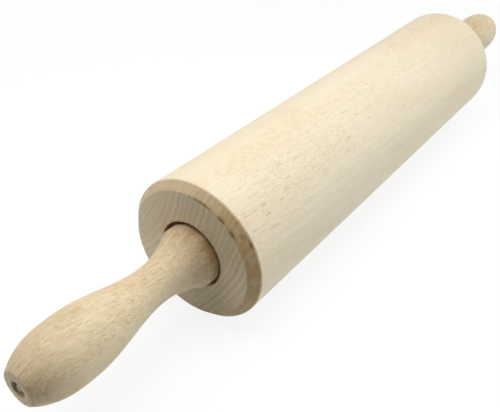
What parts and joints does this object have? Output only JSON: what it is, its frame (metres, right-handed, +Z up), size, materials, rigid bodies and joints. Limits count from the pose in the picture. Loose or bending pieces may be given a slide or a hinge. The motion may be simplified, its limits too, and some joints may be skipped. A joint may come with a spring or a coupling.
{
  "type": "rolling pin",
  "caption": "Turned beech rolling pin: a chamfered barrel running on ball bearings on a steel axle, with a turned handle at each end.",
  "frame": {"origin": "middle of the barrel, on the axis that the barrel and both handles turn about", "axes": "+X along the pin, from the left handle to the right one; +Z up when the barrel lies on a table, 35 mm below the origin"},
  "size_m": [0.456, 0.07, 0.07],
  "materials": {
    "barrel_wood": "bare sanded beech, pale cream with fine flecks",
    "handle_wood": "smooth turned beech, slightly warmer than the barrel",
    "bearing_steel": "bright ground steel",
    "hardware_steel": "dull zinc-plated steel",
    "cage_plastic": "moulded nylon"
  },
  "bodies": {
    "barrel": {"barrel": "barrel_wood", "bearing_outer_ring_left": "bearing_steel", "bearing_shield_in_left": "hardware_steel", "bearing_shield_out_left": "hardware_steel", "bearing_outer_ring_right": "bearing_steel", "bearing_shield_in_right": "hardware_steel", "bearing_shield_out_right": "hardware_steel"},
    "axle": {"axle": "bearing_steel", "handle_left": "handle_wood", "bearing_inner_ring_left": "bearing_steel", "spacer_left": "bearing_steel", "washer_left": "hardware_steel", "nut_left": "hardware_steel", "handle_right": "handle_wood", "bearing_inner_ring_right": "bearing_steel", "spacer_right": "bearing_steel", "washer_right": "hardware_steel", "nut_right": "hardware_steel"},
    "cage_left": {"bearing_cage_left": "cage_plastic"},
    "cage_right": {"bearing_cage_right": "cage_plastic"},
    "ball_left_1": {"bearing_ball_left_1": "bearing_steel"},
    "ball_left_2": {"bearing_ball_left_2": "bearing_steel"},
    "ball_left_3": {"bearing_ball_left_3": "bearing_steel"},
    "ball_left_4": {"bearing_ball_left_4": "bearing_steel"},
    "ball_left_5": {"bearing_ball_left_5": "bearing_steel"},
    "ball_left_6": {"bearing_ball_left_6": "bearing_steel"},
    "ball_left_7": {"bearing_ball_left_7": "bearing_steel"},
    "ball_right_1": {"bearing_ball_right_1": "bearing_steel"},
    "ball_right_2": {"bearing_ball_right_2": "bearing_steel"},
    "ball_right_3": {"bearing_ball_right_3": "bearing_steel"},
    "ball_right_4": {"bearing_ball_right_4": "bearing_steel"},
    "ball_right_5": {"bearing_ball_right_5": "bearing_steel"},
    "ball_right_6": {"bearing_ball_right_6": "bearing_steel"},
    "ball_right_7": {"bearing_ball_right_7": "bearing_steel"}
  },
  "joints": [
    {"name": "axle_spin", "type": "hinge", "parent": "barrel", "child": "axle", "pos_m": [0, 0, 0], "axis": [1, 0, 0], "continuous": true},
    {"name": "cage_left_spin", "type": "hinge", "parent": "barrel", "child": "cage_left", "pos_m": [-0.1283, 0, 0], "axis": [1, 0, 0], "continuous": true},
    {"name": "cage_right_spin", "type": "hinge", "parent": "barrel", "child": "cage_right", "pos_m": [0.1283, 0, 0], "axis": [1, 0, 0], "continuous": true},
    {"name": "ball_left_1_spin", "type": "hinge", "parent": "cage_left", "child": "ball_left_1", "pos_m": [-0.1283, 0, 0.0075], "axis": [1, 0, 0], "continuous": true},
    {"name": "ball_left_2_spin", "type": "hinge", "parent": "cage_left", "child": "ball_left_2", "pos_m": [-0.1283, -0.00586, 0.00468], "axis": [1, 0, 0], "continuous": true},
    {"name": "ball_left_3_spin", "type": "hinge", "parent": "cage_left", "child": "ball_left_3", "pos_m": [-0.1283, -0.00731, -0.00167], "axis": [1, 0, 0], "continuous": true},
    {"name": "ball_left_4_spin", "type": "hinge", "parent": "cage_left", "child": "ball_left_4", "pos_m": [-0.1283, -0.00325, -0.00676], "axis": [1, 0, 0], "continuous": true},
    {"name": "ball_left_5_spin", "type": "hinge", "parent": "cage_left", "child": "ball_left_5", "pos_m": [-0.1283, 0.00325, -0.00676], "axis": [1, 0, 0], "continuous": true},
    {"name": "ball_left_6_spin", "type": "hinge", "parent": "cage_left", "child": "ball_left_6", "pos_m": [-0.1283, 0.00731, -0.00167], "axis": [1, 0, 0], "continuous": true},
    {"name": "ball_left_7_spin", "type": "hinge", "parent": "cage_left", "child": "ball_left_7", "pos_m": [-0.1283, 0.00586, 0.00468], "axis": [1, 0, 0], "continuous": true},
    {"name": "ball_right_1_spin", "type": "hinge", "parent": "cage_right", "child": "ball_right_1", "pos_m": [0.1283, 0, 0.0075], "axis": [1, 0, 0], "continuous": true},
    {"name": "ball_right_2_spin", "type": "hinge", "parent": "cage_right", "child": "ball_right_2", "pos_m": [0.1283, 0.00586, 0.00468], "axis": [1, 0, 0], "continuous": true},
    {"name": "ball_right_3_spin", "type": "hinge", "parent": "cage_right", "child": "ball_right_3", "pos_m": [0.1283, 0.00731, -0.00167], "axis": [1, 0, 0], "continuous": true},
    {"name": "ball_right_4_spin", "type": "hinge", "parent": "cage_right", "child": "ball_right_4", "pos_m": [0.1283, 0.00325, -0.00676], "axis": [1, 0, 0], "continuous": true},
    {"name": "ball_right_5_spin", "type": "hinge", "parent": "cage_right", "child": "ball_right_5", "pos_m": [0.1283, -0.00325, -0.00676], "axis": [1, 0, 0], "continuous": true},
    {"name": "ball_right_6_spin", "type": "hinge", "parent": "cage_right", "child": "ball_right_6", "pos_m": [0.1283, -0.00731, -0.00167], "axis": [1, 0, 0], "continuous": true},
    {"name": "ball_right_7_spin", "type": "hinge", "parent": "cage_right", "child": "ball_right_7", "pos_m": [0.1283, -0.00586, 0.00468], "axis": [1, 0, 0], "continuous": true}
  ],
  "couplings": [
    {"joint": "cage_left_spin", "follows": "axle_spin", "ratio": 0.3677},
    {"joint": "cage_right_spin", "follows": "axle_spin", "ratio": 0.3677},
    {"joint": "ball_left_1_spin", "follows": "axle_spin", "ratio": -1.7573},
    {"joint": "ball_left_2_spin", "follows": "axle_spin", "ratio": -1.7573},
    {"joint": "ball_left_3_spin", "follows": "axle_spin", "ratio": -1.7573},
    {"joint": "ball_left_4_spin", "follows": "axle_spin", "ratio": -1.7573},
    {"joint": "ball_left_5_spin", "follows": "axle_spin", "ratio": -1.7573},
    {"joint": "ball_left_6_spin", "follows": "axle_spin", "ratio": -1.7573},
    {"joint": "ball_left_7_spin", "follows": "axle_spin", "ratio": -1.7573},
    {"joint": "ball_right_1_spin", "follows": "axle_spin", "ratio": -1.7573},
    {"joint": "ball_right_2_spin", "follows": "axle_spin", "ratio": -1.7573},
    {"joint": "ball_right_3_spin", "follows": "axle_spin", "ratio": -1.7573},
    {"joint": "ball_right_4_spin", "follows": "axle_spin", "ratio": -1.7573},
    {"joint": "ball_right_5_spin", "follows": "axle_spin", "ratio": -1.7573},
    {"joint": "ball_right_6_spin", "follows": "axle_spin", "ratio": -1.7573},
    {"joint": "ball_right_7_spin", "follows": "axle_spin", "ratio": -1.7573}
  ]
}
